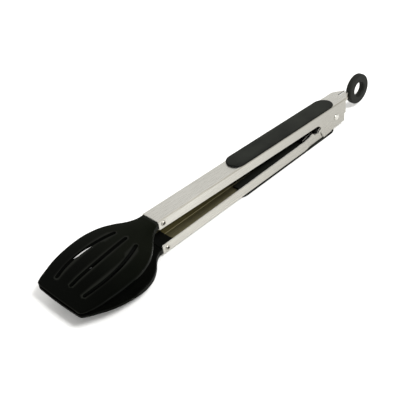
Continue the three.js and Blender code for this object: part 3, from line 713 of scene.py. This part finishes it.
def lower_side_outline():
    """Side outline of the lower arm, mirrored up: its ears turn between the upper arm's walls."""
    points = [(ARM_FRONT_X, REACH), (ARM_FRONT_X, gap_edge(LOWER_GAP, ARM_FRONT_X))]
    points += LATCH_EDGE
    points += finger_outline()
    points += arc(HINGE_X, 0, EAR_RADIUS, *FINGER_BACK_SWEEP, CORNER_STEPS)
    points += arc(HINGE_X, 0, INNER_EAR_RADIUS, *INNER_EAR_SWEEP, INNER_EAR_STEPS)
    points += LOWER_REAR_EDGE
    return points


def build_arm(name, stations, outline):
    """Channel of sheet cut to its side outline and drilled for the rivet and the pin."""
    piece = loft(name, [channel_loop(*station) for station in stations])
    boolean(piece, prism("outline", outline, -REACH, REACH), "INTERSECT")
    rivet = (HEAD_RIVET_X, HEAD_RIVET_Z, HEAD_RIVET_HOLE)
    for circle in (rivet, (HINGE_X, 0, HINGE_HOLE)):
        points = arc(*circle, 0, 360 * (HOLE_SIDES - 1) / HOLE_SIDES, HOLE_SIDES - 1)
        boolean(piece, prism("hole", points, -REACH, REACH), "DIFFERENCE")
    return piece


def upper_arm():
    stations = [(ARM_FRONT_X, ARM_HALF_WIDTH, 0), (NOSE_END_X, ARM_HALF_WIDTH, 0)]
    piece = build_arm("upper_arm_sheet", stations, upper_side_outline())
    boolean(piece, prism("nose", nose_outline(), -REACH, REACH, "Z"), "INTERSECT")
    slot = [(NOSE_SLOT_X, 0), (REACH, 0), (REACH, REACH), (NOSE_SLOT_X, REACH)]
    boolean(piece, prism("slot", slot, -NOSE_SLOT_HALF, NOSE_SLOT_HALF), "DIFFERENCE")
    return piece


def lower_arm():
    stations = [(ARM_FRONT_X, ARM_HALF_WIDTH, 0), (NEST_START_X, ARM_HALF_WIDTH, 0)]
    for k in range(1, NEST_STEPS):
        t = k / NEST_STEPS
        half = lerp(ARM_HALF_WIDTH, NESTED_HALF, smoothstep(t, 0, 1))
        stations.append((lerp(NEST_START_X, NEST_END_X, t), half, 0))
    stations.append((NEST_END_X, NESTED_HALF, 0))
    stations.append((TAPER_START_X, NESTED_HALF, 0))
    stations.append((TAPER_END_X, TAPER_HALF_WIDTH, 0))
    along = (CREASE_X - TAPER_END_X) / (LOWER_REAR_X - TAPER_END_X)
    stations.append((CREASE_X, lerp(TAPER_HALF_WIDTH, REAR_HALF_WIDTH, along), 0))
    stations.append((LOWER_REAR_X, REAR_HALF_WIDTH, CREASE_DROP))
    return build_arm("lower_arm_sheet", stations, lower_side_outline())


def shade_sheet(piece):
    """Gives the walls, outer bends, inside and cut edges of an arm's sheet copies of its steel with
    painted light: painted shade on the walls and inside the channel, a painted dark reflection on
    the bends and a painted highlight on the cut edges.
    """
    for face in piece.data.polygons:
        normal, centre = face.normal, face.center
        if abs(normal.y) > WALL_FACING:
            face.material_index = WALL_SHADE_FACE
        bent = abs(normal.y) > BEND_FACING and normal.z > BEND_FACING
        if bent and abs(centre.y) > ARM_HALF_WIDTH - BEND_RADIUS:
            face.material_index = BEND_REFLECTION_FACE
        towards_middle = normal.y * centre.y < 0 and abs(normal.y) > INSIDE_FACING
        under_top = centre.z > outer_height(centre.x) - BEND_RADIUS
        if towards_middle or (normal.z < -INSIDE_FACING and under_top):
            if abs(centre.y) < ARM_HALF_WIDTH - INSIDE_DEPTH * SHEET:
                face.material_index = INSIDE_SHADE_FACE
        elif abs(normal.y) < EDGE_FACING and normal.z < EDGE_FACING:
            face.material_index = EDGE_HIGHLIGHT_FACE


def make_arms():
    for piece, label, side in ((upper_arm(), "upper", 1), (lower_arm(), "lower", -1)):
        soften(piece, SHEET_ROUND)
        for steel in ARM_STEELS:
            piece.data.materials.append(steel)
        shade_sheet(piece)
        if side < 0:
            mirror_z(piece)
        finish_piece(piece, f"{label}_side", None, f"{label}_arm", smooth=32)


# ---- grips ----
def grip_loop(x, width_factor, crown):
    """Section of the soft pad: flat underside, low sides, crowned top with a flat band."""
    base = outer_height(x) + GRIP_LIFT
    along = (x - GRIP_FRONT_X) / (GRIP_REAR_X - GRIP_FRONT_X)
    top = lerp(GRIP_TOP_FRONT, GRIP_TOP_REAR, along)
    half = GRIP_HALF_WIDTH * width_factor
    flat = min(GRIP_FLAT_HALF, half * GRIP_FLAT_SHARE)
    rise = (top - base) * crown
    shoulder = base + rise * GRIP_SHOULDER
    right = [(half - inset, base + rise * share) for inset, share in GRIP_FOOT]
    for y, z in arc(0, 0, 1, 0, 90, GRIP_CROWN_STEPS):
        right.append((flat + (half - flat) * y, lerp(shoulder, base + rise, z)))
    left = [(-y, z) for y, z in reversed(right)]
    return [(x, y, z) for y, z in right + left]


def build_grip(name):
    """Soft pad with rounded ends."""
    ends = []
    for i in range(GRIP_END_STEPS + 1):
        angle = (i + 0.5) / (GRIP_END_STEPS + 0.5) * math.pi / 2
        factor = math.sin(angle)
        inset = GRIP_END_LENGTH * (1 - math.cos(angle))
        ends.append((inset, factor, lerp(GRIP_END_CROWN, 1, factor)))
    loops = [grip_loop(GRIP_FRONT_X + inset, *shape) for inset, *shape in ends]
    inset = ends[-1][0]
    for i in range(1, GRIP_MIDDLE_STEPS):
        t = i / GRIP_MIDDLE_STEPS
        loops.append(grip_loop(lerp(GRIP_FRONT_X + inset, GRIP_REAR_X - inset, t), 1, 1))
    loops += [grip_loop(GRIP_REAR_X - inset, *shape) for inset, *shape in reversed(ends)]
    return loft(name, loops)


def make_grips():
    for label, side in (("upper", 1), ("lower", -1)):
        piece = build_grip(f"{label}_grip_pad")
        if side < 0:
            mirror_z(piece)
        finish_piece(piece, f"{label}_side", RUBBER, f"{label}_grip", smooth=60)


# ---- heads ----
# Curves along the head: half width, crest, fall of the crown to the sides, and depth
HEAD_PLAN = [
    (TIP_X, 22.0),
    (-309.4, 23.8),
    (-307.5, 25.2),
    (-305, 26.5),
    (-300, 28.3),
    (-292, 30.4),
    (-283, 31.8),
    (-273, 32.25),
    (-264, 31.6),
    (-256, 29.4),
    (-249, 26.0),
    (-242, 20.4),
    (-236, 14.1),
    (-230, 9.9),
    (NECK_X, 8.6),
]
HEAD_CREST = [(TIP_X, 1.6), (-300, 3.4), (-290, 5.9), (-265, 9.7), (-243, 12.3), (NECK_X, 14.5)]
HEAD_SAG = [(TIP_X, 0.3), (-300, 0.8), (-290, 1.3), (-265, 1.75), (-243, 1.5), (NECK_X, 0.7)]
HEAD_DEPTH = [
    (TIP_X, 1.1),
    (-300, 1.7),
    (-285, 1.9),
    (-272, 1.95),
    (-264, 2.9),
    (-255, 3.3),
    (-246, 3.7),
    (-236, 4.2),
    (NECK_X, 4.8),
]


def head_loop(x, half, crest, depth, sag, bow, lip=0.0):
    """Section of the head: crowned across, with a thin rounded rim at both edges."""
    rim = min(RIM_WIDTH, half * RIM_WIDTH_SHARE)
    inner = (half - rim) / half
    values = [lerp(-inner, inner, i / HEAD_ACROSS) for i in range(HEAD_ACROSS + 1)]
    top = [(half * v, crest - sag * v * v - lip) for v in values]
    edge_z = crest - sag - lip
    drop = min(RIM_DROP, depth * RIM_DROP_SHARE)
    shoulder, shoulder_z = half - rim * RIM_SHOULDER[0], edge_z - drop * RIM_SHOULDER[1]
    top = [(-half, edge_z - drop), (-shoulder, shoulder_z)] + top
    top += [(shoulder, shoulder_z), (half, edge_z - drop)]
    lift = lip * LOW_LIP_SHARE
    low = [(half * v, crest - sag * v * v - depth + lift) for v in reversed(values)]
    low_z = crest - sag - depth + lift
    low_edge = [(half - inset, low_z + rise) for inset, rise in LOW_EDGE]
    low = low_edge + low + [(-y, z) for y, z in reversed(low_edge)]
    return [(x - bow * (1 - (y / half) ** 2), y, z) for y, z in top + low]


def slot_outline(path):
    """Outline of a slot of constant width along a path of (x, y), with round ends."""
    half = SLOT_WIDTH / 2
    left, right = [], []
    headings = []
    for i in range(len(path)):
        a, b = path[max(i - 1, 0)], path[min(i + 1, len(path) - 1)]
        headings.append(math.atan2(b[1] - a[1], b[0] - a[0]))
    for (x, y), heading in zip(path, headings):
        left.append((x - half * math.sin(heading), y + half * math.cos(heading)))
        right.append((x + half * math.sin(heading), y - half * math.cos(heading)))
    end, start = math.degrees(headings[-1]), math.degrees(headings[0])
    cap_end = arc(*path[-1], half, end + 90, end - 90, SLOT_CAP_STEPS)[1:-1]
    cap_start = arc(*path[0], half, start - 90, start - 270, SLOT_CAP_STEPS)[1:-1]
    return left + cap_end + right[::-1] + cap_start


def slot_paths():
    """Centre lines of the three slots, front to rear."""
    paths = []
    for points, side in ((MIDDLE_SLOT, 1), (SIDE_SLOT, 1), (SIDE_SLOT, -1)):
        path = []
        for i in range(SLOT_STEPS + 1):
            t = i / SLOT_STEPS
            weights = ((1 - t) ** 2, 2 * t * (1 - t), t * t)
            x = sum(w * p[0] for w, p in zip(weights, points))
            y = sum(w * p[1] for w, p in zip(weights, points))
            path.append((x, side * y))
        paths.append(path)
    return paths


def build_head(name, drop, extra):
    """Turner head with its tang; the drop raises its crest and the extra thickens its blade."""
    loops = []
    stations = [TIP_X + distance for distance in TIP_STATIONS]
    shares = [(i / HEAD_STATIONS) ** HEAD_STATION_POWER for i in range(1, HEAD_STATIONS + 1)]
    stations += [lerp(TIP_X + TIP_STATIONS[-1], NECK_X, share) for share in shares]
    lips = dict(enumerate(TIP_LIPS))
    for k, x in enumerate(stations):
        bow = TIP_BOW * (1 - smoothstep(x, TIP_X, BOW_END_X))
        half, crest = spline(HEAD_PLAN, x), spline(HEAD_CREST, x)
        depth, sag = spline(HEAD_DEPTH, x), spline(HEAD_SAG, x)
        share = 1 - smoothstep(x, DROP_START_X, NECK_X)
        crest += drop * share
        depth += extra * share
        loops.append(head_loop(x, half, crest, depth, sag, bow, lips.get(k, 0)))
    half = ARM_HALF_WIDTH - SHEET - TANG_CLEARANCE
    for x in (TANG_FRONT_X, TANG_REAR_X):
        top = outer_height(x) - SHEET - TANG_CLEARANCE
        loops.append(head_loop(x, half, top, top - TANG_BOTTOM, TANG_SAG, 0))
    piece = loft(name, loops)
    for path in slot_paths():
        boolean(piece, prism("slot", slot_outline(path), *SLOT_CUT, "Z"), "DIFFERENCE")
    soften(piece, HEAD_ROUND, angle=50)
    return piece


def shade_head(piece):
    """Gives the slots and the faces that look at the other head painted shade, as a darker copy of
    the nylon.
    """
    piece.data.materials.append(NYLON)
    piece.data.materials.append(SHADED_NYLON)
    paths = [Vector((x, y)) for path in slot_paths() for x, y in path]
    reach = SLOT_WIDTH / 2 + SLOT_SHADE
    for face in piece.data.polygons:
        centre = face.center.xy
        in_slot = min((centre - p).length for p in paths) < reach
        upright = abs(face.normal.z) < SLOT_WALL_FACING
        if (in_slot and upright) or face.normal.z < -UNDERSIDE_FACING:
            face.material_index = 1


def make_heads():
    lower = (LOWER_HEAD_DROP, LOWER_BLADE_EXTRA)
    for label, side, (drop, extra) in (("upper", 1, (0.0, 0.0)), ("lower", -1, lower)):
        piece = build_head(f"{label}_head_turner", drop, extra)
        shade_head(piece)
        if side < 0:
            mirror_z(piece)
        finish_piece(piece, f"{label}_side", None, f"{label}_head", smooth=38)


# ---- pins and rivets ----
def fillet(radius_start, y_start, radius_end, y_end, steps=6):
    """Quarter-round profile between two points, bulging outwards."""
    points = []
    for i in range(steps + 1):
        angle = math.pi / 2 * i / steps
        r = lerp(radius_start, radius_end, math.sin(angle))
        y = lerp(y_start, y_end, 1 - math.cos(angle))
        points.append((r, y))
    return points


def make_rivets():
    half = ARM_HALF_WIDTH + FACE_GAP
    flare = [(r, half + y) for r, y in RIVET_MOUTH + RIVET_RIM]
    profile = [(r, -y) for r, y in flare] + flare[::-1]
    for label, side in (("upper", 1), ("lower", -1)):
        piece = turned(f"{label}_head_rivet_tube", profile, HEAD_RIVET_X, side * HEAD_RIVET_Z)
        piece.data.materials.append(INNER_STEEL)
        piece.data.materials.append(RIVET_HOLLOW_SHADE_STEEL)
        for face in piece.data.polygons:
            offset = face.center - Vector((HEAD_RIVET_X, 0, side * HEAD_RIVET_Z))
            radius, height = RIVET_HOLLOW
            # The faces inside the hollow get the painted shade.
            hollow = math.hypot(offset.x, offset.z) < radius and abs(offset.y) < half + height
            face.material_index = int(hollow)
        finish_piece(piece, f"{label}_side", None, f"{label}_head_rivet", smooth=50)


def make_pin():
    head = ARM_HALF_WIDTH + FACE_GAP
    radius, edge, crown = PIN_HEAD
    neck, neck_end = PIN_NECK
    profile = fillet(0, -head - crown, radius, -head - edge, 10)
    profile += [(radius, -head), (HINGE_RADIUS, -head), (HINGE_RADIUS, head + neck_end)]
    profile += [(neck, head + neck_end)]
    radius, edge, crown = PIN_PEEN
    profile += reversed(fillet(0, head + crown, radius, head + edge, 8))
    pin = turned("hinge_pin_turned", profile, HINGE_X, 0)
    finish_piece(pin, "lower_side", STEEL, "hinge_pin", smooth=45)
    washer = [(r, head + WASHER_LIFT + y) for r, y in HINGE_WASHER]
    piece = turned("hinge_washer_turned", washer, HINGE_X, 0)
    finish_piece(piece, "lower_side", INNER_STEEL, "hinge_washer", smooth=45)


def make_stack():
    """Sleeves and thrust washers on the hinge pin, both sides of the lock strip."""
    for label, side in (("near", -1), ("far", 1)):
        for kind, profile in (("spring_sleeve", SLEEVE), ("thrust_washer", THRUST_WASHER)):
            node = f"{kind}_{label}"
            points = [(r, side * y) for r, y in profile]
            piece = turned(f"{node}_turned", points, HINGE_X, 0, segments=48)
            finish_piece(piece, "lower_side", NYLON, node)


# ---- torsion springs ----
def spring_path(side):
    """Centre line of one spring: leg on the lower arm, coil, leg on the upper arm."""
    y0, y1 = COIL_Y[0] + WIRE, COIL_Y[1] - WIRE
    leg_x = HINGE_X - LEG_LENGTH
    leg_z = outer_height(leg_x) - SHEET - WIRE - LEG_CLEARANCE
    path = []
    start = Vector((leg_x, y0, -leg_z))
    tangent_low = Vector((HINGE_X, y0, -COIL_RADIUS))
    for i in range(LEG_STEPS):
        path.append(start.lerp(tangent_low, i / LEG_STEPS))
    for i in range(COIL_STEPS + 1):
        t = i / COIL_STEPS
        angle = -math.pi / 2 + 2 * math.pi * COIL_TURNS * t
        x = HINGE_X + COIL_RADIUS * math.cos(angle)
        path.append(Vector((x, lerp(y0, y1, t), COIL_RADIUS * math.sin(angle))))
    tangent_high = Vector((HINGE_X, y1, COIL_RADIUS))
    end = Vector((leg_x, y1, leg_z))
    for i in range(1, LEG_STEPS + 1):
        path.append(tangent_high.lerp(end, i / LEG_STEPS))
    return [Vector((p.x, side * p.y, p.z)) for p in path]


def make_springs():
    for label, side in (("near", -1), ("far", 1)):
        piece = sweep(f"torsion_spring_{label}_wire", spring_path(side), WIRE)
        finish_piece(piece, None, WIRE_STEEL, f"torsion_spring_{label}", smooth=60)
        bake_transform(piece)


# ---- lock and hang ring ----
def make_lock_strip():
    slot_half = HINGE_RADIUS + PIN_CLEARANCE
    outline = arc(BAR_X, 0, STRIP_HALF_WIDTH, 90, 270, 24)
    outline += STRIP_LOWER_EDGE + STRIP_UPPER_EDGE
    piece = prism("lock_strip_plate", outline, -STRIP_HALF, STRIP_HALF)
    slot = arc(HINGE_X - SLIDE_OUT - SLIDE_SPARE, 0, slot_half, 90, 270, 20)
    slot += arc(HINGE_X + SLIDE_SPARE, 0, slot_half, -90, 90, 20)
    boolean(piece, prism("slot", slot, *STRIP_SLOT_CUT), "DIFFERENCE")
    soften(piece, STRIP_ROUND)
    finish_piece(piece, "lock", INNER_STEEL, "lock_strip", smooth=35)


def make_lock_bar():
    flat, end = BAR_RADIUS - BAR_CHAMFER, BAR_HALF - BAR_CHAMFER
    profile = [(0, -BAR_HALF), (flat, -BAR_HALF), (BAR_RADIUS, -end)]
    profile += [(BAR_RADIUS, end), (flat, BAR_HALF), (0, BAR_HALF)]
    piece = turned("lock_bar_turned", profile, BAR_X, 0, segments=40)
    # The bar gets the painted shade of the catch's notch.
    finish_piece(piece, "lock", LOCK_BAR_SHADE_STEEL, "lock_bar")


def make_ring():
    """Hang ring with rounded edges, moulded round the end of the lock strip."""
    inner, outer = RING_HOLE + RING_FILLET, RING_RADIUS - RING_FILLET
    y = RING_HALF - RING_FILLET
    profile = arc(outer, -y, RING_FILLET, -90, 0, 8) + arc(outer, y, RING_FILLET, 0, 90, 8)
    profile += arc(inner, y, RING_FILLET, 90, 180, 8) + arc(inner, -y, RING_FILLET, 180, 270, 8)
    piece = turned("hang_ring_moulded", profile, RING_X, RING_Z, segments=128)
    boolean(piece, prism("pocket", POCKET, -POCKET_HALF, POCKET_HALF), "DIFFERENCE")
    finish_piece(piece, "lock", RING_PLASTIC, "hang_ring")


# ---- carried CAD nodes ----
def dress_carriers():
    """Gives the two carried CAD nodes their material."""
    for label in ("upper", "lower"):
        node = frame["nodes"][f"{label}_grip_carrier"]
        node.data.materials.clear()
        node.data.materials.append(NYLON)


# ---- studio ----
FLOOR_HALF = 4.0  # metres, as the rest of the studio
LIGHT_AIM = (-0.05, 0, 0.02)
CAMERA_BACK = (-0.50952, -0.61772, 0.59901)  # from the object towards the camera
CAMERA_POSITION = (-489.03, -367.07, 349.81)  # millimetres in the tongs' own frame
CAMERA_ROLL = -9.30  # degrees


def make_floor():
    data = bpy.data.meshes.new("floor")
    low, high = -FLOOR_HALF, FLOOR_HALF
    corners = [(low, low, 0), (high, low, 0), (high, high, 0), (low, high, 0)]
    data.from_pydata(corners, [], [(0, 1, 2, 3)])
    floor = bpy.data.objects.new("floor", data)
    bpy.context.scene.collection.objects.link(floor)
    material, _, shader = node_material("pale_floor")
    shader.inputs["Base Color"].default_value = (0.85, 0.85, 0.84, 1)
    shader.inputs["Roughness"].default_value = 0.9
    data.materials.append(material)


def area_light(name, location, size, power):
    """Square soft box that faces the object."""
    data = bpy.data.lights.new(name, "AREA")
    data.size = size
    data.energy = power
    lamp = bpy.data.objects.new(name, data)
    bpy.context.scene.collection.objects.link(lamp)
    lamp.location = location
    aim = Vector(LIGHT_AIM) - Vector(location)
    lamp.rotation_euler = aim.to_track_quat("-Z", "Y").to_euler()


def make_lights():
    world = bpy.data.worlds.new("studio")
    bpy.context.scene.world = world
    world.use_nodes = True
    background = world.node_tree.nodes["Background"]
    background.inputs["Color"].default_value = (1.0, 0.995, 0.98, 1)
    background.inputs["Strength"].default_value = 1.0
    area_light("front_softbox", (-0.13, -0.97, 1.20), 0.35, 25)
    view = bpy.context.scene.view_settings
    view.view_transform = "Standard"
    view.look = "None"


def make_camera():
    """Camera above the heads' near side, looking along the arms, slightly rolled."""
    back = Vector(CAMERA_BACK).normalized()
    position = TO_ROW @ Vector(CAMERA_POSITION)
    roll = math.radians(CAMERA_ROLL)
    data = bpy.data.cameras.new("camera")
    data.sensor_width = 36
    data.lens = 72
    data.clip_start = 0.01
    data.clip_end = 50
    camera = bpy.data.objects.new("camera", data)
    bpy.context.scene.collection.objects.link(camera)
    camera.rotation_mode = "QUATERNION"
    level = (-back).to_track_quat("-Z", "Y").to_matrix().to_4x4()
    camera.matrix_world = Matrix.Translation(position) @ level @ Matrix.Rotation(roll, 4, "Z")
    bpy.context.scene.camera = camera


make_camera()
make_arms()
make_grips()
make_heads()
make_rivets()
make_pin()
make_stack()
make_springs()
make_lock_strip()
make_lock_bar()
make_ring()
dress_carriers()
make_floor()
make_lights()
